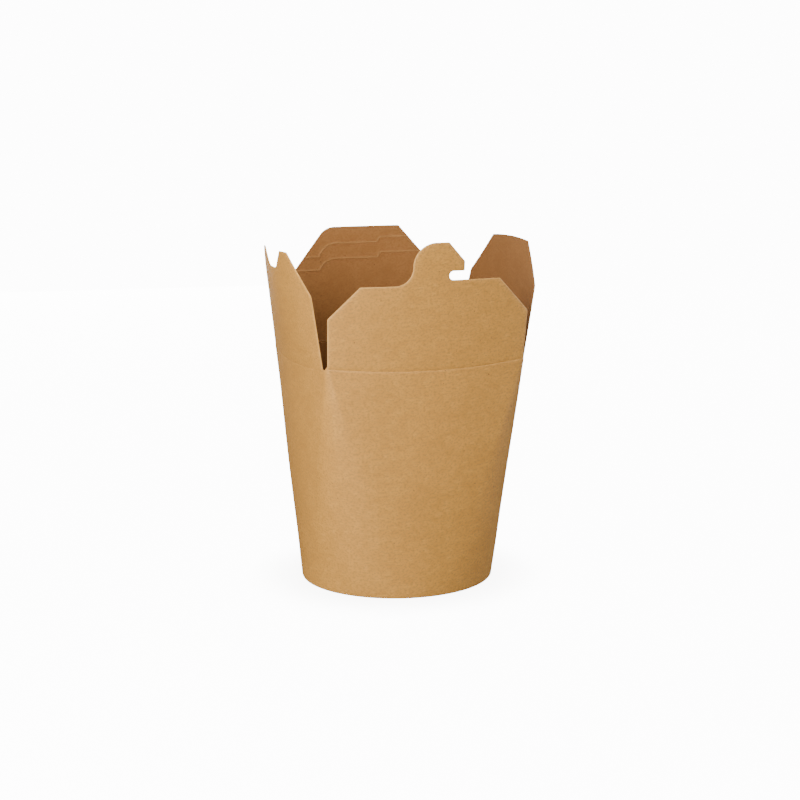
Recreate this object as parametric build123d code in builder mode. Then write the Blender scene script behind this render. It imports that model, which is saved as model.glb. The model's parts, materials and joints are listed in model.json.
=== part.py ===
"""Open card food box: round base, square mouth, four flaps. Millimetres, +Z up, origin under the base."""

import os
from math import asin, cos, degrees, radians, sin, sqrt, tan

from build123d import *

os.makedirs("parts", exist_ok=True)

# Card and clearances
card = 0.45  # thickness of the board
glue_gap = 0.05  # between glued layers at the foot
fold_gap = 0.3  # the scored-through line between wall and flap

# Wall: a circle at the foot runs out to a bulged square at the fold
base_radius = 44.0
fold_height = 105.0  # at the corners of the mouth
panel_half = 49.5  # centre line to the middle of a panel, at the fold
panel_bulge = 4.2  # a panel's middle stands this far out of its corners
corner_radius = 2.5
main_sag = 2.5  # the front and back folds dip at their middle
side_sag = 1.5
side_drop = 0.9  # the side folds lie lower, so that those flaps tuck under

# Foot: the base card stands up inside, held by the wall's turned-in hem
base_rise = 7.0
hem_height = 5.5

# Glued lap beside one back corner
lap_width = 11.0
lap_start = 1.5  # above the base card

# Flaps: heights above the corners of the mouth, cuts and flares in from or out of the edge at the fold
main_slit = 0.8  # the front and back flaps stop this far from the corners of the mouth
left_slit = 3.4
right_slit = 1.9
root_round = 0.7
small_round = 1.0  # at cut corners
shoulder_round = 2.0
main_lean_angle = 5.9
main_top_bulge = 4.4
left_lean_angle = 5.5
left_top_bulge = 6.9
right_lean_angle = 11.7
right_top_bulge = 1.2
bulge_reach = 50.0  # height at which the top bulges are measured

# Front flap with its hook tab
front_left_flare = 0.3
front_right_flare = 1.3
front_shoulder = 21.3
front_cut = 13.2
front_low_flat = 34.6
front_high_flat = 36.4
tab_left = -8.7
tab_hollow = 7.5
tab_round = 10.0
tab_top = 52.6
tab_flat_end = 7.0
hook_right = 14.4
hook_shoulder = 44.4
slot_end = 7.5
slot_height = 3.9
slot_round = 1.9

# Back flap with its pressed lock lines
back_left_shoulder = 22.5
back_right_shoulder = 19.5
back_top = 52.3
back_left_cut = 25.0
back_right_cut = 27.3
back_right_round = 9.5
line_width = 0.9
line_relief = 0.2
line_step = 2.4
line_step_at = -8.8
line_step_run = 1.5
line_bend_at = 20.6
line_bend_run = 3.0
line_round = 8.8
line_heights = (44.0, 36.75)
line_falls = (6.2, 5.2)

# Side flaps, the left one with a thumb notch
left_taper = 2.6
left_shoulder = 30.2
left_cut = 21.4
left_top = 47.6
notch_front = 11.5
notch_back = -15.8
notch_foot_front = 2.0
notch_foot_back = -11.5
notch_depth = 8.2
notch_round = 7.0
right_taper = 3.0
right_shoulder = 31.0
right_cut = 21.8
right_top = 49.1
right_peak = 1.6  # the halves of the bowed top edge would meet this far above its ends
right_top_round = 270.0

# Worked out from the sizes above
chord_half = panel_half - panel_bulge
panel_radius = (chord_half**2 + panel_bulge**2) / (2 * panel_bulge)
panel_centre = panel_radius - panel_half
inner_radius = panel_radius - corner_radius
corner_centre = (sqrt(2 * inner_radius**2 - panel_centre**2) - panel_centre) / 2
panel_angle = degrees(asin(corner_centre / inner_radius))
layer = card + glue_gap
root_half = chord_half - main_slit
left_root_half = chord_half - left_slit
right_root_half = chord_half - right_slit
overhang = 10.0  # tools reach this far past what they cut


def turned(x, y, turn):
    """The point (x, y) turned about the centre line by a number of degrees."""
    angle = radians(turn)
    return (x * cos(angle) - y * sin(angle), x * sin(angle) + y * cos(angle))


def wall_arcs(height):
    """The eight arcs of the wall's outline at a height: centre, radius, start angle and size of each."""
    share = height / fold_height
    panel_arc = base_radius + share * (panel_radius - base_radius)
    corner_arc = base_radius + share * (corner_radius - base_radius)
    corner_size = 90 - 2 * panel_angle
    arcs = []
    for turn in (0, 90, 180, 270):
        panel_at = turned(0, share * panel_centre, turn)
        corner_at = turned(share * corner_centre, -share * corner_centre, turn)
        arcs.append((panel_at, panel_arc, turn - 90 - panel_angle, 2 * panel_angle))
        arcs.append((corner_at, corner_arc, turn - 90 + panel_angle, corner_size))
    return arcs


def ring_section(height, inset):
    """The wall's closed outline at a height, set in by inset."""
    with BuildSketch(Plane.XY.offset(height)) as section:
        with BuildLine():
            for centre, radius, start, size in wall_arcs(height):
                CenterArc(centre, radius - inset, start, size)
        make_face()
    return section.sketch


def band_section(height, arc, outer, inner):
    """Strip along one of the wall's arcs, between two depths below the outer face."""
    centre, radius, start, size = arc
    with BuildSketch(Plane.XY.offset(height)) as section:
        with BuildLine():
            outside = CenterArc(centre, radius - outer, start, size)
            inside = CenterArc(centre, radius - inner, start, size)
            Line(outside @ 0, inside @ 0)
            Line(outside @ 1, inside @ 1)
        make_face()
    return section.sketch


def ring_band(low, high, outer, inner):
    """Closed band of card that follows the wall between two heights, as eight ruled cone pieces."""
    for low_arc, high_arc in zip(wall_arcs(low), wall_arcs(high)):
        low_section = band_section(low, low_arc, outer, inner)
        high_section = band_section(high, high_arc, outer, inner)
        loft([low_section, high_section], ruled=True)


def side_plane(turn):
    """Upright plane through the centre line that faces out of one side of the box."""
    return Plane(
        origin=(0, 0, 0), x_dir=(*turned(1, 0, turn), 0), z_dir=(*turned(0, -1, turn), 0)
    )


def fold_line(corner_height, sag, half):
    """The dipping fold, from minus half to plus half, as an arc in a side's upright plane."""
    fold_radius = (chord_half**2 + sag**2) / (2 * sag)
    end = corner_height - sag + fold_radius - sqrt(fold_radius**2 - half**2)
    return ThreePointArc((-half, end), (0, corner_height - sag), (half, end))


def cut_to_fold(turn, corner_height, sag):
    """Trim the wall's top down to the folds of two opposite sides."""
    with BuildSketch(side_plane(turn)) as spare:
        with BuildLine():
            fold = fold_line(corner_height, sag, chord_half)
            Polyline(
                fold @ 1,
                (chord_half, fold_height + overhang),
                (-chord_half, fold_height + overhang),
                fold @ 0,
            )
        make_face()
    extrude(spare.sketch, amount=panel_half + overhang, both=True, mode=Mode.SUBTRACT)


def flap_layer(turn, lean, top_bulge, outer, inner):
    """Curved sheet in line with one side of the wall, between two depths below the outer face."""
    reach = chord_half + overhang / 2
    sections = []
    for height in (fold_height - overhang, fold_height + bulge_reach + overhang):
        rise = height - fold_height
        bulge = panel_bulge + (top_bulge - panel_bulge) * rise / bulge_reach
        radius = (chord_half**2 + bulge**2) / (2 * bulge)
        middle = chord_half + rise * tan(radians(lean)) + bulge
        edge = middle - radius + sqrt(radius**2 - reach**2)
        with BuildSketch(Plane.XY.offset(height).rotated((0, 0, turn))) as section:
            with BuildLine():
                outside = ThreePointArc((-reach, outer - edge), (0, outer - middle), (reach, outer - edge))
                inside = ThreePointArc((-reach, inner - edge), (0, inner - middle), (reach, inner - edge))
                Line(outside @ 0, inside @ 0)
                Line(outside @ 1, inside @ 1)
            make_face()
        sections.append(section.sketch)
    loft(sections, ruled=True)


def flap_outline(turn, corner_height, sag, half, points, rounds):
    """Cut a flap's sheet to its outline: the fold below, and a rounded edge through the points."""
    with BuildSketch(side_plane(turn)) as outline:
        with BuildLine():
            fold = fold_line(corner_height + fold_gap, sag, half)
            raised = [(across, fold_height + height) for across, height in points]
            FilletPolyline(fold @ 1, *raised, fold @ 0, radius=rounds)
        make_face()
        fillet(outline.vertices().sort_by(Axis.Y)[:2], root_round)
    extrude(outline.sketch, amount=2 * panel_half, mode=Mode.INTERSECT)


# Glued lap: a second layer of card inside the wall, beside a back corner
lap_low = base_rise + lap_start
lap_foot = base_radius * sin(radians(45))
lap_head = corner_centre + corner_radius * sin(radians(45))
with BuildPart() as lap:
    ring_band(lap_low, fold_height, card, 2 * card)
    with BuildSketch(side_plane(90)):
        with BuildLine():
            Polyline(
                (lap_foot, 0),
                (lap_head, fold_height),
                (lap_head - lap_width, fold_height),
                (lap_foot - lap_width, 0),
                close=True,
            )
        make_face()
    extrude(amount=2 * panel_half, mode=Mode.INTERSECT)

# Wall with its lap, its turned-in hem and the dipping folds at its top
with BuildPart() as wall:
    ring_band(0, card, 0, 2 * layer + card)
    ring_band(card, hem_height, 2 * layer, 2 * layer + card)
    ring_band(card, fold_height, 0, card)
    add(lap.part)
    cut_to_fold(0, fold_height, main_sag)
    cut_to_fold(90, fold_height - side_drop, side_sag)
wall.part.label = "wall"
export_step(wall.part, "parts/wall.step")

# Base card, an upturned tray whose rim stands between wall and hem
with BuildPart() as base_disc:
    ring_band(layer, base_rise - card, layer, layer + card)
    extrude(ring_section(base_rise - card, layer), amount=card)
base_disc.part.label = "base_disc"
export_step(base_disc.part, "parts/base_disc.step")

# Front flap with its hook tab and slot
slot_top = front_high_flat + slot_height
front_flat_half = root_half - front_cut
with BuildPart() as front_flap:
    flap_layer(0, main_lean_angle, main_top_bulge, 0, card)
    flap_outline(
        0,
        fold_height,
        main_sag,
        root_half,
        [
            (root_half + front_right_flare, front_shoulder),
            (front_flat_half, front_high_flat),
            (slot_end, front_high_flat),
            (slot_end, slot_top),
            (hook_right, slot_top),
            (hook_right, hook_shoulder),
            (tab_flat_end, tab_top),
            (tab_left, tab_top),
            (tab_left, front_low_flat),
            (-front_flat_half, front_low_flat),
            (-root_half - front_left_flare, front_shoulder),
        ],
        [
            shoulder_round,
            small_round,
            slot_round,
            slot_round,
            small_round / 2,
            small_round,
            small_round,
            tab_round,
            tab_hollow,
            small_round,
            shoulder_round,
        ],
    )
front_flap.part.label = "front_flap"
export_step(front_flap.part, "parts/front_flap.step")

# Lock lines: two pressed ridges on the inner face of the back flap
with BuildPart() as lock_lines:
    flap_layer(180, main_lean_angle, main_top_bulge, card / 2, card + line_relief)
    with BuildSketch(side_plane(180)):
        for height, fall in zip(line_heights, line_falls):
            level = fold_height + height
            lower = [
                (root_half, level - fall),
                (line_bend_at, level - fall),
                (line_bend_at - line_bend_run, level),
                (line_step_at, level),
                (line_step_at - line_step_run, level + line_step),
                (-root_half, level + line_step),
            ]
            upper = [(across + line_width, rise + line_width) for across, rise in reversed(lower)]
            rounds = [line_width / 4, line_width, line_round, line_width, line_width, line_width / 4]
            with BuildLine():
                FilletPolyline(*lower, *upper, radius=rounds + rounds[::-1], close=True)
            make_face()
    extrude(amount=2 * panel_half, mode=Mode.INTERSECT)

# Back flap, seen from behind
with BuildPart() as back_flap:
    flap_layer(180, main_lean_angle, main_top_bulge, 0, card)
    add(lock_lines.part)
    flap_outline(
        180,
        fold_height,
        main_sag,
        root_half,
        [
            (root_half, back_right_shoulder),
            (root_half - back_right_cut, back_top),
            (back_left_cut - root_half, back_top),
            (-root_half, back_left_shoulder),
        ],
        [shoulder_round, back_right_round, small_round, shoulder_round],
    )
back_flap.part.label = "back_flap"
export_step(back_flap.part, "parts/back_flap.step")

# Left flap with its thumb notch
left_shoulder_half = left_root_half - left_taper
left_top_half = left_root_half - left_cut
notch_low = left_top - notch_depth
with BuildPart() as left_flap:
    flap_layer(270, left_lean_angle, left_top_bulge, 0, card)
    flap_outline(
        270,
        fold_height - side_drop,
        side_sag,
        left_root_half,
        [
            (left_shoulder_half, left_shoulder),
            (left_top_half, left_top),
            (notch_front, left_top),
            (notch_foot_front, notch_low),
            (notch_foot_back, notch_low),
            (notch_back, left_top),
            (-left_top_half, left_top),
            (-left_shoulder_half, left_shoulder),
        ],
        [
            shoulder_round,
            small_round,
            small_round,
            notch_round,
            notch_round,
            small_round,
            small_round,
            shoulder_round,
        ],
    )
left_flap.part.label = "left_flap"
export_step(left_flap.part, "parts/left_flap.step")

# Right flap, plain, with a bowed top edge
right_shoulder_half = right_root_half - right_taper
right_top_half = right_root_half - right_cut
with BuildPart() as right_flap:
    flap_layer(90, right_lean_angle, right_top_bulge, 0, card)
    flap_outline(
        90,
        fold_height - side_drop,
        side_sag,
        right_root_half,
        [
            (right_shoulder_half, right_shoulder),
            (right_top_half, right_top),
            (0, right_top + right_peak),
            (-right_top_half, right_top),
            (-right_shoulder_half, right_shoulder),
        ],
        [shoulder_round, small_round, right_top_round, small_round, shoulder_round],
    )
right_flap.part.label = "right_flap"
export_step(right_flap.part, "parts/right_flap.step")
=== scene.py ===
import json
import math

import bpy
import numpy as np
from mathutils import Matrix, Vector
from mathutils.geometry import delaunay_2d_cdt


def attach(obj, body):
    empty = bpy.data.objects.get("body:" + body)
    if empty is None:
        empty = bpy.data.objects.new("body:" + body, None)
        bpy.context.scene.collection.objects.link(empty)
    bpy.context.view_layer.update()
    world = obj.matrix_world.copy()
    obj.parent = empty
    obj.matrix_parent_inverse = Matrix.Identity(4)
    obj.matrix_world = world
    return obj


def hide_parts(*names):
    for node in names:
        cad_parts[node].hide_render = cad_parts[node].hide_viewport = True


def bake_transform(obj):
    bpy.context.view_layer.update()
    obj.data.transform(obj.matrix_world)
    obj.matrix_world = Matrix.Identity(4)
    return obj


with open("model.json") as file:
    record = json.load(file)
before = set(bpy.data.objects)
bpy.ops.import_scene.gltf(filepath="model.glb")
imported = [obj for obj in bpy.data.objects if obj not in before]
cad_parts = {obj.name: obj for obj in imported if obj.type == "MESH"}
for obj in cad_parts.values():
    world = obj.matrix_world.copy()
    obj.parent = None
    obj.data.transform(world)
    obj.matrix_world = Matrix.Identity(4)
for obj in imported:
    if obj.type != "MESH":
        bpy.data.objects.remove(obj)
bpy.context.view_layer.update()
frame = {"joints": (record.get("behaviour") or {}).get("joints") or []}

mm = 0.001
folds = {joint["name"]: joint["pos_m"] for joint in frame["joints"]}


# shader maths: a wrapped socket takes part in ordinary sums, and make() adds any other node
class Wire:
    def __init__(self, tree, socket=None):
        self.tree = tree
        self.socket = socket

    def make(self, kind, settings, inputs, output=0):
        node = self.tree.nodes.new(kind)
        for name, value in settings.items():
            setattr(node, name, value)
        for name, value in inputs.items():
            if isinstance(value, Wire):
                self.tree.links.new(value.socket, node.inputs[name])
            else:
                node.inputs[name].default_value = value
        return Wire(self.tree, node.outputs[output])

    def maths(self, operation, first, second):
        return self.make("ShaderNodeMath", {"operation": operation}, {0: first, 1: second})

    def __add__(self, other):
        return self.maths("ADD", self, other)

    def __radd__(self, other):
        return self.maths("ADD", other, self)

    def __mul__(self, other):
        return self.maths("MULTIPLY", self, other)

    def __rmul__(self, other):
        return self.maths("MULTIPLY", other, self)

    def band(self, low, high):  # 0 below low, 1 above high, smooth between
        ends = {"Value": self, "From Min": low, "From Max": high}
        return self.make("ShaderNodeMapRange", {"interpolation_type": "SMOOTHSTEP"}, ends)

    def mixed(self, share, base, colour):  # base where share is 0, colour where it is 1
        return self.make("ShaderNodeMix", {"data_type": "RGBA"}, {0: share, 6: base, 7: colour}, 2)


# brown kraft board, its smoother paler outside, duller inside and cut edge: a calm ground with faint clouds,
# fine grain both ways, a few dark flecks, pale fibres, and paler creases; the same paler worn colour
# is also a painted highlight along the cut edges and the pressed lock lines
kraft = {
    "outside": {
        "ground": (0.580, 0.272, 0.051, 1), "cloud": (0.664, 0.316, 0.061, 1),
        "grain": (0.440, 0.205, 0.041, 1), "fleck": (0.200, 0.072, 0.016, 1),
        "fibre": (0.800, 0.415, 0.095, 1), "worn": (0.800, 0.450, 0.140, 1),
        "gloss": 0.5, "rough": 0.46,
    },
    "inside": {
        "ground": (0.318, 0.140, 0.044, 1), "cloud": (0.352, 0.158, 0.052, 1),
        "grain": (0.290, 0.125, 0.037, 1), "fleck": (0.190, 0.075, 0.022, 1),
        "fibre": (0.360, 0.168, 0.057, 1), "worn": (0.540, 0.290, 0.110, 1),
        "gloss": 0.04, "rough": 0.7,
    },
    "cutEdge": {
        "ground": (0.740, 0.400, 0.120, 1), "cloud": (0.780, 0.430, 0.135, 1),
        "grain": (0.660, 0.340, 0.095, 1), "fleck": (0.400, 0.170, 0.040, 1),
        "fibre": (0.820, 0.480, 0.170, 1), "worn": (0.780, 0.430, 0.130, 1),
        "gloss": 0.15, "rough": 0.7,
    },
}
# layers of noise in the board: size in millimetres, how far it is drawn out sideways, and where it sits
pulp = {
    "cloud": {"size": 12.0, "stretch": 1.2, "seed": 0.0, "detail": 3.0},
    "blotch": {"size": 3.2, "stretch": 1.3, "seed": 6.5, "detail": 2.0},
    "grain": {"size": 0.9, "stretch": 1.2, "seed": 3.1, "detail": 3.0},
    "fleck": {"size": 1.5, "stretch": 1.2, "seed": 7.7, "detail": 1.0},
    "across": {"size": 0.7, "stretch": 5.0, "seed": 5.3, "detail": 2.0},
    "upward": {"size": 0.7, "stretch": 0.22, "seed": 2.4, "detail": 2.0},
    "tooth": {"size": 0.5, "stretch": 1.3, "seed": 9.2, "detail": 2.0},
}
# how much of each layer shows in the colour: where it starts, where it is full, and its share there
tint = {
    "cloud": (0.34, 0.66, 0.5), "blotch": (0.36, 0.66, 0.5), "grain": (0.40, 0.70, 0.75),
    "across": (0.56, 0.76, 0.45), "upward": (0.58, 0.78, 0.45), "fleck": (0.755, 0.80, 0.8),
}
touch = {
    "grain": 0.5, "across": 0.3, "tooth": 0.5, "strength": 0.3, "depth": 0.00012,  # the bump
    "toothRough": 0.14, "wornRough": 0.2,
}
blankUnit = 100  # millimetres of the flat blank in one unit of UV


def noise(wire, place, size, stretch, seed, detail):  # noise on the flat blank
    shift = {"Vector": place, "Location": (seed, seed * 0.7, 0), "Scale": (1 / stretch, 1, 1)}
    moved = wire.make("ShaderNodeMapping", {}, shift)
    return wire.make("ShaderNodeTexNoise", {}, {"Vector": moved, "Scale": blankUnit / size, "Detail": detail})


def kraftMaterial(name, board):
    material = bpy.data.materials.new(name)
    material.use_nodes = True
    tree = material.node_tree
    shader = tree.nodes["Principled BSDF"]
    wire = Wire(tree)
    place = wire.make("ShaderNodeUVMap", {"uv_map": "blank"}, {})
    worn = wire.make("ShaderNodeAttribute", {"attribute_name": "worn"}, {}, 2)
    layer = {key: noise(wire, place, **shape) for key, shape in pulp.items()}
    shown = {key: layer[key].band(low, high) * share for key, (low, high, share) in tint.items()}
    colour = wire.mixed(shown["cloud"] + shown["blotch"], board["ground"], board["cloud"])
    colour = wire.mixed(shown["grain"], colour, board["grain"])
    colour = wire.mixed(shown["across"] + shown["upward"], colour, board["fibre"])
    colour = wire.mixed(shown["fleck"], colour, board["fleck"])
    # the worn colour: wear on creases and folds, and a painted highlight along cut edges and lock lines
    colour = wire.mixed(worn, colour, board["worn"])
    relief = layer["grain"] * touch["grain"] + layer["across"] * touch["across"]
    relief = relief + layer["tooth"] * touch["tooth"]
    depth = {"Height": relief, "Strength": touch["strength"], "Distance": touch["depth"]}
    bump = wire.make("ShaderNodeBump", {}, depth)
    rough = board["rough"] + layer["tooth"] * touch["toothRough"] + worn * touch["wornRough"]
    tree.links.new(colour.socket, shader.inputs["Base Color"])
    tree.links.new(rough.socket, shader.inputs["Roughness"])
    tree.links.new(bump.socket, shader.inputs["Normal"])
    shader.inputs["Specular IOR Level"].default_value = board["gloss"]
    return material


kraftSides = [kraftMaterial("kraft" + name[0].upper() + name[1:], board) for name, board in kraft.items()]
print("kraft board mixed")


# sizes in millimetres; the fold heights come from the frame's own joints
wrap = {
    "card": 0.45,
    "baseRadius": 44.0,
    "panelHalf": 49.5,  # centre to the middle of a panel, at the fold
    "panelBulge": 4.2,
    "bulgeReach": 50.0,  # above the fold, where a flap has its own top bulge
    "cornerRadius": 2.5,
    "foldHeight": folds["front_fold"][2] / mm,
    "sideFold": folds["left_fold"][2] / mm,
    "stepFrom": -0.8,  # where round a corner the rim starts up from the side folds, 0 at the corner's middle
    "stepSpan": 1.13,
    "mainSag": 2.5,
    "sideSag": 1.5,
    "unevenness": 0.14,
}
chordHalf = wrap["panelHalf"] - wrap["panelBulge"]
panelRadius = (chordHalf**2 + wrap["panelBulge"] ** 2) / (2 * wrap["panelBulge"])
panelCentre = panelRadius - wrap["panelHalf"]
innerRadius = panelRadius - wrap["cornerRadius"]
cornerCentre = (math.sqrt(2 * innerRadius**2 - panelCentre**2) - panelCentre) / 2
panelAngle = math.asin(cornerCentre / innerRadius)

# the score between wall and flap: a shallow groove outside and a raised bead inside
score = {
    "groove": 0.17, "bead": 0.24, "spread": 0.5, "worn": 0.07, "innerWorn": 0.4, "sideShare": 0.3,
    # roll is the edge rolled over by the cutting die; the edge shares paint a highlight, a paler band along
    # the cut edges
    "roll": 0.22, "rollSpread": 0.3, "edgePaintedHighlight": 0.5, "edgeInnerPaintedHighlight": 0.3,  # rolled over by the cutting die
    "rows": (0.0, 0.18, 0.36, 0.6, 0.9, 1.3),
}


def smooth(value):  # eases from 0 to 1
    value = np.clip(value, 0, 1)
    return value * value * (3 - 2 * value)


def scoreRelief(gap, depth):  # a bell curve of the distance from the score line
    return depth * np.exp(-((gap / score["spread"]) ** 2))


# the wall's outline: at a share of the way up, each point's normal angle picks a panel arc or a corner arc,
# and both arcs run from the base circle to the bulged square in straight lines
def wallPoint(angle, height, inset):
    share = height / wrap["foldHeight"]
    quarter = np.round(angle / (math.pi / 2)) * (math.pi / 2)
    onPanel = np.abs(angle - quarter) <= panelAngle + 1e-9
    cornerAt = (np.floor(angle / (math.pi / 2)) + 0.5) * (math.pi / 2)
    reach = cornerCentre * math.sqrt(2)
    centreX = share * np.where(onPanel, -panelCentre * np.cos(quarter), reach * np.cos(cornerAt))
    centreY = share * np.where(onPanel, -panelCentre * np.sin(quarter), reach * np.sin(cornerAt))
    target = np.where(onPanel, panelRadius, wrap["cornerRadius"])
    radius = wrap["baseRadius"] + share * (target - wrap["baseRadius"]) - inset
    x = centreX + radius * np.cos(angle)
    y = centreY + radius * np.sin(angle)
    return np.stack(np.broadcast_arrays(x, y, height), -1)


# the cuts between flaps end in a U: the rim rises a little beside the ends of the flaps
slit = {"main": 44.5, "left": 41.9, "right": 43.4, "rise": 0.9, "width": 0.7, "clear": 0.02}


def slitRise(rim):  # bell curves of the distance past each flap's end
    pastMain = np.abs(rim[..., 0]) - slit["main"]
    pastSide = np.abs(rim[..., 1]) - np.where(rim[..., 0] < 0, slit["left"], slit["right"])
    bells = [np.exp(-((past / slit["width"]) ** 2)) * (past > slit["clear"]) for past in (pastMain, pastSide)]
    return slit["rise"] * sum(bells)


def frontness(angle):  # above 0 on the front and back, below 0 on the sides
    return np.abs(np.sin(angle)) - np.abs(np.cos(angle))


def foldHeightAt(angle):  # the dipping folds, deepest at each panel's middle, stepping down round each corner
    rim = wallPoint(angle, np.full_like(angle, wrap["foldHeight"]), 0.0)
    facing = frontness(angle)
    across = np.where(facing > 0, rim[..., 0], rim[..., 1]) / chordHalf
    sag = np.where(facing > 0, wrap["mainSag"], wrap["sideSag"])
    step = smooth((facing - wrap["stepFrom"]) / wrap["stepSpan"])
    level = wrap["sideFold"] + (wrap["foldHeight"] - wrap["sideFold"]) * step
    return level - sag * np.clip(1 - across**2, 0, None) + slitRise(rim)


columns = {"panel": 45, "corner": 29}


def columnAngles(first):  # normal angles once round from first, close enough for the smallest arcs
    panel = panelAngle * np.sin(np.linspace(-math.pi / 2, math.pi / 2, columns["panel"])[:-1])
    corner = np.linspace(panelAngle, math.pi / 2 - panelAngle, columns["corner"])[:-1]
    one = np.concatenate([panel, corner])
    ring = np.concatenate([one + turn * math.pi / 2 for turn in range(4)])
    ring = np.sort(np.round(ring - first, 9) % (2 * math.pi)) + first  # rounded, to keep a column at first
    return np.append(ring, first + 2 * math.pi)


# slow waves of card bent by hand: three round the wall and seven fainter ones, both winding as they go up,
# and none at the foot and the folds
def uneven(angle, height):
    share = np.clip(height / wrap["foldHeight"], 0, 1)
    calm = smooth(share * 4) * smooth((1 - share) * 5) * wrap["unevenness"]
    return calm * (np.sin(3 * angle + 5 * share) + 0.6 * np.sin(7 * angle - 9 * share + 1.3))


sharpFrom = math.radians(42)  # faces that meet at more than this have a sharp edge


def newPiece(name, points, faces, sides, flat, worn, nodes):
    mesh = bpy.data.meshes.new(name)
    mesh.from_pydata(points * mm, [], faces)
    layer = mesh.uv_layers.new(name="blank")
    loops = np.empty(len(mesh.loops), np.int32)
    mesh.loops.foreach_get("vertex_index", loops)
    layer.data.foreach_set("uv", (flat[loops] / blankUnit).astype(np.float32).ravel())
    mesh.attributes.new("worn", "FLOAT", "POINT").data.foreach_set("value", worn.astype(np.float32))
    mesh.polygons.foreach_set("use_smooth", np.ones(len(mesh.polygons), bool))
    mesh.polygons.foreach_set("material_index", sides.astype(np.int32))
    for board in kraftSides:
        mesh.materials.append(board)
    mesh.update()
    mesh.set_sharp_from_angle(angle=sharpFrom)
    piece = bpy.data.objects.new(name, mesh)
    bpy.context.scene.collection.objects.link(piece)
    if nodes:
        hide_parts(*nodes)
    return piece


def sheetFromGrids(outer, inner, flat, worn, pole=False):
    # a card sheet: outer and inner grids of the same size, rows going up and columns to the right, closed
    # round the border by cut edges; with a pole, the columns close on themselves and the last row is a point
    count = outer.shape[0] * outer.shape[1]
    index = np.arange(count).reshape(outer.shape[:2])
    if pole:
        index[:, -1] = index[:, 0]
        index[-1] = index[-1, 0]
    quad = np.stack([index[:-1, :-1], index[:-1, 1:], index[1:, 1:], index[1:, :-1]], -1).reshape(-1, 4)
    if pole:
        border, following = index[0, :-1], index[0, 1:]
    else:
        border = np.concatenate([index[0, :-1], index[:-1, -1], index[-1, :0:-1], index[:0:-1, 0]])
        following = np.roll(border, -1)
    rim = np.stack([following, border, border + count, following + count], -1)
    faces = np.concatenate([quad, quad[:, ::-1] + count, rim]).tolist()
    if pole:
        faces = [list(dict.fromkeys(face)) for face in faces]
    sides = np.repeat([0, 1, 2], [len(quad), len(quad), len(rim)])  # outside, inside, cut edge
    points = np.concatenate([outer.reshape(-1, 3), inner.reshape(-1, 3)])
    worn = np.concatenate([grid.ravel() for grid in worn])
    keep = np.unique(np.concatenate(faces))  # without the points that a pole leaves over
    faces = [np.searchsorted(keep, face).tolist() for face in faces]
    return points[keep], faces, sides, np.concatenate([flat.reshape(-1, 2)] * 2)[keep], worn[keep]


# the wrapped wall: normal angle by a path from the hem's top round the foot and up to the folds
foot = {
    "hemHeight": 5.5, "foldWidth": 1.45, "baseRise": 7.0, "glueGap": 0.05, "worn": 0.35,
    "hemRows": 5, "bendRows": 12, "wallRows": 44,
}
lap = {
    "angle": math.pi / 4, "width": 11.0, "start": 8.5, "gap": 0.03, "ramp": math.radians(14), "lift": 3.0,
    "aside": 0.5, "below": 0.6,  # radians round to where the fold's height is taken, and its top below that
    "columns": 16, "rows": 30,
}
wallAngles = columnAngles(lap["angle"])


# the blank laid flat is a fan: each level keeps its own length round the wall, bent about the fan's centre
def runAt(height):  # millimetres round the wall from the middle of the blank
    ring = wallPoint(wallAngles, height, 0.0)[..., :2]
    step = np.linalg.norm(np.diff(ring, axis=-2), axis=-1)
    run = np.concatenate([step[..., :1] * 0, np.cumsum(step, -1)], -1)
    return run - run[..., -1:] / 2


footRun, foldRun = (runAt(np.full_like(wallAngles, level)) for level in (0.0, wrap["foldHeight"]))
fanRadius = wrap["foldHeight"] * footRun[-1] / (foldRun[-1] - footRun[-1])  # the fan's centre to the foot


def lapDrop(angle, height):  # how far the hidden end of the blank dives under the seen one
    near = 1 - (angle - lap["angle"]) / lap["ramp"]
    return (wrap["card"] + lap["gap"]) * smooth(near) * smooth((height - foot["baseRise"]) / lap["lift"])


def wallSheet():
    top = foldHeightAt(wallAngles)
    half = foot["foldWidth"] / 2
    tight = half - wrap["card"]
    ones = np.ones_like(wallAngles)
    hem = np.linspace(foot["hemHeight"], half, foot["hemRows"])[:-1, None] * ones
    swing = np.linspace(math.pi, 0, foot["bendRows"])[:-1, None] * ones
    lift = np.linspace(0, 1, foot["wallRows"])[:-1, None]
    near = np.array(score["rows"])[::-1, None]
    rise = np.concatenate([half + (top - score["rows"][-1] - half) * lift, top - near])
    shift = lapDrop(wallAngles, rise) + uneven(wallAngles, rise)
    gap = top - rise
    firm = score["sideShare"] + (1 - score["sideShare"]) * smooth(frontness(wallAngles) * 2 + 0.5)
    outerInset = [
        hem * 0 + foot["foldWidth"],
        half - half * np.cos(swing),
        shift + scoreRelief(gap, score["groove"]) * firm,
    ]
    innerInset = [
        hem * 0 + foot["foldWidth"] - wrap["card"],
        half - tight * np.cos(swing),
        shift + wrap["card"] + scoreRelief(gap, score["bead"]),
    ]
    outerHeight = np.concatenate([hem, half - half * np.sin(swing), rise])
    innerHeight = np.concatenate([hem, half - tight * np.sin(swing), rise])
    along = np.concatenate([-2 * half - hem, half - half * swing, rise])
    outer = wallPoint(wallAngles, outerHeight, np.concatenate(outerInset))
    inner = wallPoint(wallAngles, innerHeight, np.concatenate(innerInset))
    crease = scoreRelief(gap, score["worn"]) * firm
    worn = np.concatenate([hem * 0, foot["worn"] * np.sin(swing) ** 2, crease])
    innerWorn = np.concatenate([hem * 0, swing * 0, scoreRelief(gap, score["innerWorn"])])
    away = fanRadius + along
    turn = runAt(outerHeight) / away
    flat = np.stack([away * np.sin(turn), away * np.cos(turn) - fanRadius], -1)
    return sheetFromGrids(outer, inner, flat, (worn, innerWorn))


wallPiece = newPiece("wallWrap", *wallSheet(), ["wall"])
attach(wallPiece, "box")


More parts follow.
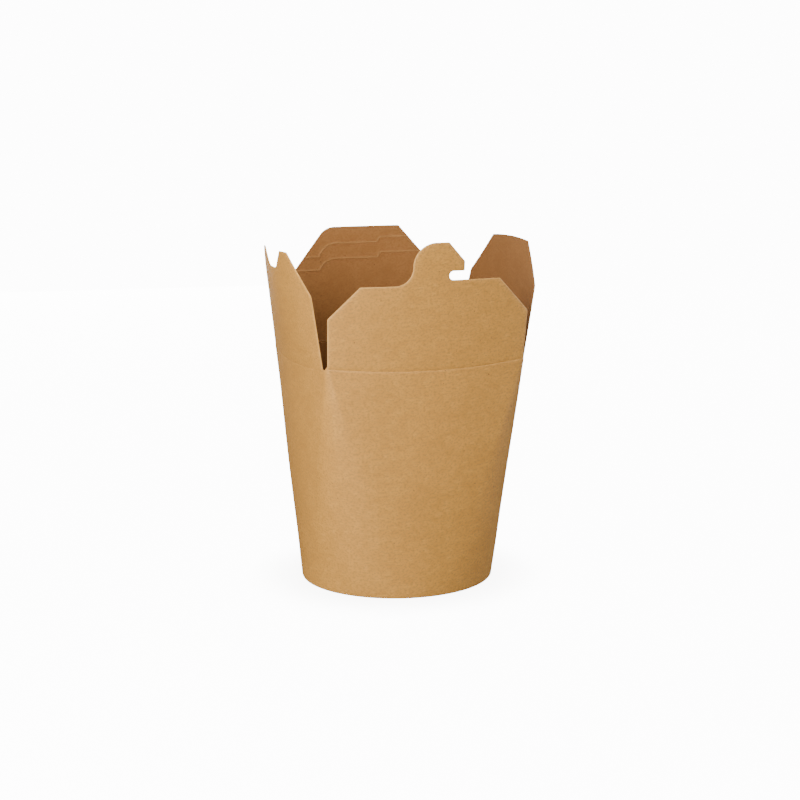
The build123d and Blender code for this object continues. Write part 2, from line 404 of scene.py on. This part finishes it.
def lapSheet():  # the hidden end of the blank, glued inside beside the corner: run from the corner by height
    run = np.linspace(lap["width"], 0, lap["columns"])
    end = foldHeightAt(np.full_like(run, lap["angle"] - lap["aside"])) - lap["below"]
    height = lap["start"] + (end - lap["start"]) * np.linspace(0, 1, lap["rows"])[:, None]
    share = height / wrap["foldHeight"]
    tight = wrap["baseRadius"] + share * (wrap["cornerRadius"] - wrap["baseRadius"])
    wide = wrap["baseRadius"] + share * (panelRadius - wrap["baseRadius"])
    bend = tight * (lap["angle"] - panelAngle)
    angle = np.where(run < bend, lap["angle"] - run / tight, panelAngle - (run - bend) / wide)
    depth = wrap["card"] + lap["gap"] + uneven(angle + 2 * math.pi, height)
    outer = wallPoint(angle, height, depth)
    inner = wallPoint(angle, height, depth + wrap["card"])
    flat = np.stack(np.broadcast_arrays(-run, height), -1)
    return sheetFromGrids(outer, inner, flat, (angle * 0, angle * 0))


lapPiece = newPiece("lapStrip", *lapSheet(), [])
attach(lapPiece, "box")
print("wall wrapped and lapped")


# the base card: rings from the skirt's foot up inside the wall, over a soft rim and in to the centre
base = {"rim": 0.9, "sag": 0.3, "worn": 0.4, "skirtRows": 5, "rimRows": 8, "rings": 22}


def baseSheet():
    ring = columnAngles(0.0)
    ones = np.ones_like(ring)
    layer = wrap["card"] + foot["glueGap"]
    crown = foot["baseRise"] - base["rim"]
    skirt = np.linspace(layer, crown, base["skirtRows"])[:-1, None] * ones
    swing = np.linspace(0, math.pi / 2, base["rimRows"])[:, None] * ones
    inward = np.linspace(1, 0, base["rings"])[1:, None] * ones
    sheets = []
    for inset in (0.0, wrap["card"]):
        radius = base["rim"] - inset
        height = np.concatenate([
            skirt,
            crown + radius * np.sin(swing),
            foot["baseRise"] - inset - base["sag"] * (1 - inward**2),
        ])
        depth = np.concatenate([
            skirt * 0 + layer + inset,
            layer + base["rim"] - radius * np.cos(swing),
            inward * 0 + layer + base["rim"],
        ])
        grid = wallPoint(ring, height, depth)
        grid[..., :2] *= np.concatenate([skirt * 0 + 1, swing * 0 + 1, inward])[..., None]
        sheets.append(grid)
    outward = np.concatenate([skirt * 0 + 1, swing * 0 + 1, inward * 0])[..., None]
    fall = (foot["baseRise"] - sheets[0][..., 2])[..., None] * outward
    flat = sheets[0][..., :2] + fall * np.stack([np.cos(ring), np.sin(ring)], -1)
    worn = np.concatenate([skirt * 0, base["worn"] * np.sin(2 * swing), inward * 0])
    return sheetFromGrids(*sheets, flat, (worn, worn * 0), pole=True)


basePiece = newPiece("baseCard", *baseSheet(), ["base_disc"])
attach(basePiece, "box")
print("base card set")


# flaps: an outline in the flap's own plane, filled with points, triangulated and laid on the curved sheet
net = {
    "foldColumns": 60, "edgeStep": 1.0, "ridgeStep": 0.7, "spacing": 1.9,
    "reach": 48, "low": 101, "high": 160,  # what the grid of points covers, before the outline cuts it
    "edgeRows": (0.3, 0.75), "edgeGap": 0.12, "ridgeGap": 1.3,
    "ridgeRows": (-1.0, -0.62, -0.36, -0.16, 0.0, 0.16, 0.36, 0.62, 1.0),
    "weld": 1e-5, "probe": 0.01,
}
sharpRound = 0.01  # radius of a corner that stays sharp


def roundedLine(corners, rounds):  # straight runs joined by arcs of the given radii, closed
    corners = np.array(corners, float)
    parts = []
    for back, here, ahead, radius in zip(np.roll(corners, 1, 0), corners, np.roll(corners, -1, 0), rounds):
        into = (here - back) / np.linalg.norm(here - back)
        out = (ahead - here) / np.linalg.norm(ahead - here)
        swing = math.atan2(into[0] * out[1] - into[1] * out[0], float(into @ out))
        reach = radius * math.tan(abs(swing) / 2)
        normal = np.array([-into[1], into[0]]) * math.copysign(1, swing)
        centre = here - into * reach + normal * radius
        perRadian = min(5 + 1.5 * radius, 120)  # points on the arc, more on a larger one
        spin = np.linspace(0, swing, max(2, int(abs(swing) * perRadian) + 1))
        spoke = -normal * radius
        parts.append(centre + np.outer(np.cos(spin), spoke) + np.outer(np.sin(spin), [-spoke[1], spoke[0]]))
    return np.concatenate(parts)


def spacedOut(line, step, closed=True):  # more points along the longer runs of a line
    run = np.linalg.norm(np.diff(np.append(line, line[:1], 0) if closed else line, axis=0), axis=1)
    parts = []
    for spot, length in enumerate(run):
        count = max(1, math.ceil(length / step))
        ahead = line[(spot + 1) % len(line)]
        parts.append(line[spot] + np.arange(count)[:, None] / count * (ahead - line[spot]))
    return np.concatenate(parts)


def gapTo(spots, line, closed):  # distance of each spot from a line of straight pieces
    starts = line if closed else line[:-1]
    run = (np.roll(line, -1, 0) if closed else line[1:]) - starts
    away = spots[:, None] - starts
    share = np.clip((away * run).sum(-1) / np.maximum((run * run).sum(-1), 1e-12), 0, 1)
    return np.linalg.norm(away - share[..., None] * run, axis=-1).min(1)


def isInside(spots, line):  # counts the edges that a level ray from each spot crosses
    ends = np.roll(line, -1, 0)
    rise = ends[:, 1] - line[:, 1]
    slope = (ends[:, 0] - line[:, 0]) / np.where(np.abs(rise) < 1e-9, 1e-9, rise)
    passes = (line[:, 1] > spots[:, 1:]) != (ends[:, 1] > spots[:, 1:])
    cross = line[:, 0] + (spots[:, 1:] - line[:, 1]) * slope
    return (passes & (cross > spots[:, :1])).sum(1) % 2 == 1


def wallOut(across, height):  # how far out the wall's outer face stands at a panel
    share = height / wrap["foldHeight"]
    radius = wrap["baseRadius"] + share * (panelRadius - wrap["baseRadius"])
    return np.sqrt(radius**2 - across**2) - share * panelCentre


def foldAt(flap, across):
    return flap["level"] - flap["sag"] * (1 - (across / chordHalf) ** 2)


def flapPoint(flap, across, height):  # goes on from the wall at the fold, leans, and its bow changes upwards
    fold = foldAt(flap, across)
    rise = height - fold
    change = (flap["topBulge"] - wrap["panelBulge"]) * rise / wrap["bulgeReach"]
    bow = change * (1 - (across / chordHalf) ** 2)
    out = wallOut(across, fold) + rise * math.tan(math.radians(flap["lean"])) + bow
    turn = math.radians(flap["turn"])
    x = across * math.cos(turn) + out * math.sin(turn)
    y = across * math.sin(turn) - out * math.cos(turn)
    return np.stack([x, y, height], -1)


def flapSheet(flap):
    half = flap["root"]
    across = np.linspace(-half, half, net["foldColumns"])
    foldLine = np.stack([across, foldAt(flap, across)], -1)
    cutCorners = [(side, wrap["foldHeight"] + rise) for side, rise in flap["corners"]]
    corners = [foldLine[-1], *cutCorners, foldLine[0]]
    cut = roundedLine(corners, [sharpRound, *flap["rounds"], sharpRound])
    outline = spacedOut(np.concatenate([cut, foldLine[1:-1]]), net["edgeStep"])
    ridges = [spacedOut(ridge, net["ridgeStep"], False) for ridge in flap["ridges"]]
    sideways = np.arange(-net["reach"], net["reach"], net["spacing"])
    grid = np.stack(np.meshgrid(sideways, np.arange(net["low"], net["high"], net["spacing"])), -1)
    grid[1::2, :, 0] += net["spacing"] / 2
    clouds = [grid.reshape(-1, 2)]
    clouds += [foldLine + [0, gap] for gap in score["rows"][1:]]
    lead = np.roll(outline, -1, 0) - np.roll(outline, 1, 0)
    inwards = np.stack([-lead[:, 1], lead[:, 0]], -1) / np.linalg.norm(lead, axis=1)[:, None]
    clouds += [outline + inwards * step for step in net["edgeRows"]]
    for ridge in ridges:
        run = np.gradient(ridge, axis=0)
        beside = np.stack([-run[:, 1], run[:, 0]], -1) / np.linalg.norm(run, axis=1)[:, None]
        clouds[0] = clouds[0][gapTo(clouds[0], ridge, False) > net["ridgeGap"]]
        clouds += [ridge + beside * step for step in net["ridgeRows"]]
    spots = np.concatenate(clouds)
    spots = spots[isInside(spots, outline)]
    spots = spots[gapTo(spots, outline, True) > net["edgeGap"]]
    allSpots = np.concatenate([outline, spots])
    ring = [list(range(len(outline)))]
    found = delaunay_2d_cdt([Vector(spot) for spot in allSpots.tolist()], [], ring, 1, net["weld"])
    spots = np.array([spot[:] for spot in found[0]])
    faces = np.array(found[2])
    return spots, faces, ridges, cut


def flapMesh(flap):
    spots, faces, ridges, cut = flapSheet(flap)
    count = len(spots)
    side, height = spots.T
    here = flapPoint(flap, side, height)
    probe = net["probe"]
    normal = np.cross(
        flapPoint(flap, side + probe, height) - flapPoint(flap, side - probe, height),
        flapPoint(flap, side, height + probe) - flapPoint(flap, side, height - probe),
    )
    normal /= np.linalg.norm(normal, axis=1)[:, None]
    gap = height - foldAt(flap, side)
    firm = flap["firm"]
    atEdge = np.exp(-((gapTo(spots, cut, False) / score["rollSpread"]) ** 2))
    groove = scoreRelief(gap, score["groove"]) * firm + score["roll"] * atEdge
    bead = scoreRelief(gap, score["bead"])
    # painted highlight: a paler band along the cut edges on both faces, on top of the crease wear
    worn = scoreRelief(gap, score["worn"]) * firm + score["edgePaintedHighlight"] * atEdge
    innerWorn = scoreRelief(gap, score["innerWorn"]) + score["edgeInnerPaintedHighlight"] * atEdge
    for ridge in ridges:
        pressed = np.exp(-((gapTo(spots, ridge, False) / lock["half"]) ** 2))
        groove = np.maximum(groove, lock["rise"] * lock["grooveShare"] * pressed)
        bead = np.maximum(bead, lock["rise"] * pressed)
        # painted highlight: the pressed lock lines are made paler on the inside face
        innerWorn = np.maximum(innerWorn, lock["worn"] * pressed)
    outer = here - normal * groove[:, None]
    inner = here - normal * (wrap["card"] + bead)[:, None]
    loop = np.stack([faces, np.roll(faces, -1, 1)], -1).reshape(-1, 2)
    single = ~np.isin(loop[:, 0] * count + loop[:, 1], loop[:, 1] * count + loop[:, 0])
    start, end = loop[single].T
    rim = np.stack([end, start, start + count, end + count], -1)
    allFaces = faces.tolist() + (faces[:, ::-1] + count).tolist() + rim.tolist()
    sides = np.repeat([0, 1, 2], [len(faces), len(faces), len(rim)])  # outside, inside, cut edge
    facing = (math.radians(flap["turn"]) - math.pi / 2 - lap["angle"]) % (2 * math.pi)
    middle = np.interp(facing, wallAngles - lap["angle"], foldRun)  # where the flap's middle is on the blank
    turn = middle / (fanRadius + wrap["foldHeight"])
    away = fanRadius + height
    across = side * math.cos(turn) + away * math.sin(turn)
    flat = np.stack([across, away * math.cos(turn) - side * math.sin(turn) - fanRadius], -1)
    worn = np.concatenate([worn, innerWorn])
    return np.concatenate([outer, inner]), allFaces, sides, np.concatenate([flat, flat]), worn


# pressed lock lines: high on one side, then a small step and a long round drop, going past both edges
lock = {
    # worn is a painted highlight, the lines' share of the paler colour
    "half": 0.42, "rise": 0.3, "grooveShare": 0.6, "worn": 0.3,
    "end": 50, "bendFoot": 20.6, "bendTop": 17.6, "stepFoot": -8.8, "stepTop": -10.3, "stepRise": 2.4,
    "bendRound": 8.8, "stepRound": 0.9, "shift": 0.45,
    "closeAt": (0, 400),  # far above, only to close the outline, and cut off again
}


def lockLine(level, fall):
    low, high = level - fall, level + lock["stepRise"]
    corners = [
        (lock["end"], low), (lock["bendFoot"], low), (lock["bendTop"], level),
        (lock["stepFoot"], level), (lock["stepTop"], high), (-lock["end"], high), lock["closeAt"],
    ]
    small = lock["stepRound"]
    line = roundedLine(corners, [sharpRound, small, lock["bendRound"], small, small, sharpRound, sharpRound])
    return line[2:-4] + [lock["shift"], wrap["foldHeight"] + lock["shift"]]


mainFlap = {
    "level": wrap["foldHeight"], "sag": wrap["mainSag"], "lean": 5.9, "topBulge": 4.4,
    "root": slit["main"], "firm": 1.0,
}
sideFlap = {"level": wrap["sideFold"], "sag": wrap["sideSag"], "firm": score["sideShare"], "ridges": []}
flaps = {
    "frontFlap": {
        **mainFlap, "turn": 0, "body": "front_flap", "ridges": [],
        "corners": [
            (45.8, 21.3), (31.3, 36.4), (7.5, 36.4), (7.5, 40.3), (14.4, 40.3), (14.4, 44.4),
            (7, 52.6), (-8.7, 52.6), (-8.7, 34.6), (-31.3, 34.6), (-44.8, 21.3),
        ],
        "rounds": [2, 1, 1.9, 1.9, 0.5, 1, 1, 10, 7.5, 1, 2],
    },
    "backFlap": {
        **mainFlap, "turn": 180, "body": "back_flap",
        "ridges": [lockLine(44.0, 6.2), lockLine(36.75, 5.2)],
        "corners": [(44.5, 19.5), (17.2, 52.3), (-19.5, 52.3), (-44.5, 22.5)],
        "rounds": [2, 9.5, 1, 2],
    },
    "leftFlap": {
        **sideFlap, "turn": 270, "body": "left_flap",
        "root": slit["left"], "lean": 5.5, "topBulge": 6.9,
        "corners": [
            (39.3, 30.2), (20.5, 47.6), (11.5, 47.6), (2, 39.4),
            (-11.5, 39.4), (-15.8, 47.6), (-20.5, 47.6), (-39.3, 30.2),
        ],
        "rounds": [2, 1, 1, 7, 7, 1, 1, 2],
    },
    "rightFlap": {
        **sideFlap, "turn": 90, "body": "right_flap",
        "root": slit["right"], "lean": 11.7, "topBulge": 1.2,
        "corners": [(40.4, 31), (21.6, 49.1), (0, 50.7), (-21.6, 49.1), (-40.4, 31)],
        "rounds": [2, 1, 270, 1, 2],
    },
}
for name, flap in flaps.items():
    piece = newPiece(name, *flapMesh(flap), [flap["body"]])
    hinge = Vector((0, 0, flap["level"] * mm))
    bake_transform(piece)
print("flaps cut and creased")


# camera at the photograph's angle: degrees and metres, with lens and sensor in millimetres
shot = {
    "azimuth": -17.86, "elevation": 10.25, "distance": 0.75142, "lens": 73.675, "roll": -0.43,
    "sensor": 36, "near": 0.01,
}
aim = {"height": 0.08133, "right": 0.00214}
azimuth, elevation, roll = (math.radians(shot[key]) for key in ("azimuth", "elevation", "roll"))
right = Vector((math.cos(azimuth), math.sin(azimuth), 0))
back = Vector((
    math.sin(azimuth) * math.cos(elevation), -math.cos(azimuth) * math.cos(elevation), math.sin(elevation)
))
up = back.cross(right)
across = right * math.cos(roll) + up * math.sin(roll)
upward = up * math.cos(roll) - right * math.sin(roll)
cameraData = bpy.data.cameras.new("photoCamera")
cameraData.lens = shot["lens"]
cameraData.sensor_width = shot["sensor"]
cameraData.clip_start = shot["near"]
camera = bpy.data.objects.new("photoCamera", cameraData)
turned = Matrix((across, upward, back)).transposed().to_4x4()
stand = Vector((0, 0, aim["height"])) + right * aim["right"] + back * shot["distance"]
camera.matrix_world = Matrix.Translation(stand) @ turned
bpy.context.scene.collection.objects.link(camera)
bpy.context.scene.camera = camera
print("camera placed")


# a pale floor that sweeps up all round, bright by itself so that no horizon shows, with a painted contact
# shadow that dims its glow round the foot
stage = {
    "hub": 0.02, "flat": 2.5, "sweep": 2.0, "spokes": 96, "rings": 25,
    "white": (1, 1, 1, 1), "paintedShadow": (0.66, 0.65, 0.64, 1), "paintedShadowReach": (0.040, 0.075), "glow": 13.0,
    "grey": (0.25, 0.25, 0.25, 1), "rough": 0.9, "gloss": 0.1,
}


def stageGrid():  # rings of a bowl: a flat middle, then a quarter circle up
    spin = np.linspace(0, 2 * math.pi, stage["spokes"] + 1)[:-1]
    rise = np.linspace(0, math.pi / 2, stage["rings"])
    radius = np.append([stage["hub"], stage["flat"] / 2], stage["flat"] + stage["sweep"] * np.sin(rise))
    height = np.append([0.0, 0.0], stage["sweep"] * (1 - np.cos(rise)))
    points = np.stack(np.broadcast_arrays(
        radius[:, None] * np.cos(spin), radius[:, None] * np.sin(spin), height[:, None]
    ), -1)
    index = np.arange(len(radius) * stage["spokes"]).reshape(-1, stage["spokes"])
    ahead = np.roll(index, -1, 1)
    quad = np.stack([index[:-1], index[1:], ahead[1:], ahead[:-1]], -1).reshape(-1, 4)
    return points.reshape(-1, 3), quad.tolist() + [index[0].tolist()]


floorMaterial = bpy.data.materials.new("paleFloor")
floorMaterial.use_nodes = True
floorWire = Wire(floorMaterial.node_tree)
floorPlace = floorWire.make("ShaderNodeTexCoord", {}, {}, 3)
fromMiddle = floorWire.make("ShaderNodeVectorMath", {"operation": "LENGTH"}, {0: floorPlace}, 1)
# painted contact shadow: the floor's glow colour is darker within a few centimetres of the box's foot
floorGlowWithPaintedShadow = floorWire.mixed(fromMiddle.band(*stage["paintedShadowReach"]), stage["paintedShadow"], stage["white"])
floorBoard = floorMaterial.node_tree.nodes["Principled BSDF"]
floorMaterial.node_tree.links.new(floorGlowWithPaintedShadow.socket, floorBoard.inputs["Emission Color"])
floorBoard.inputs["Base Color"].default_value = stage["grey"]
floorBoard.inputs["Roughness"].default_value = stage["rough"]
floorBoard.inputs["Specular IOR Level"].default_value = stage["gloss"]
floorBoard.inputs["Emission Strength"].default_value = stage["glow"]
floorMesh = bpy.data.meshes.new("paleFloor")
floorPoints, floorFaces = stageGrid()
floorMesh.from_pydata(floorPoints, [], floorFaces)
floorMesh.polygons.foreach_set("use_smooth", np.ones(len(floorMesh.polygons), bool))
floorMesh.materials.append(floorMaterial)
floor = bpy.data.objects.new("paleFloor", floorMesh)
floor.visible_diffuse = False
floor.visible_glossy = False
floor.visible_shadow = False
bpy.context.scene.collection.objects.link(floor)

# faint light from all round, and soft lamps aimed at the box: degrees round from the front to the right,
# degrees up, metres away and across, watts
air = {"colour": (1, 1, 1, 1), "strength": 0.05}
lampAim = Vector((0, 0, 0.08))
lights = {
    "key": {"round": -52, "up": 19, "away": 0.45, "size": 0.5, "power": 4.6},
    "front": {"round": -5, "up": 25, "away": 1.2, "size": 0.7, "power": 4.0},
    "edge": {"round": 82, "up": 8, "away": 1.2, "size": 0.7, "power": 9.5},
    "behind": {"round": 172, "up": 12, "away": 1.2, "size": 0.7, "power": 12},
}
world = bpy.data.worlds.new("studio")
world.use_nodes = True
world.node_tree.nodes["Background"].inputs["Color"].default_value = air["colour"]
world.node_tree.nodes["Background"].inputs["Strength"].default_value = air["strength"]
bpy.context.scene.world = world
for name, lamp in lights.items():
    data = bpy.data.lights.new(name, "AREA")
    data.size = lamp["size"]
    data.energy = lamp["power"]
    light = bpy.data.objects.new(name, data)
    light.visible_camera = False
    turn, tilt = math.radians(lamp["round"]), math.radians(lamp["up"])
    toLamp = Vector((math.sin(turn) * math.cos(tilt), -math.cos(turn) * math.cos(tilt), math.sin(tilt)))
    light.location = lampAim + toLamp * lamp["away"]
    light.rotation_euler = toLamp.to_track_quat("Z", "Y").to_euler()
    bpy.context.scene.collection.objects.link(light)
print("studio lit")
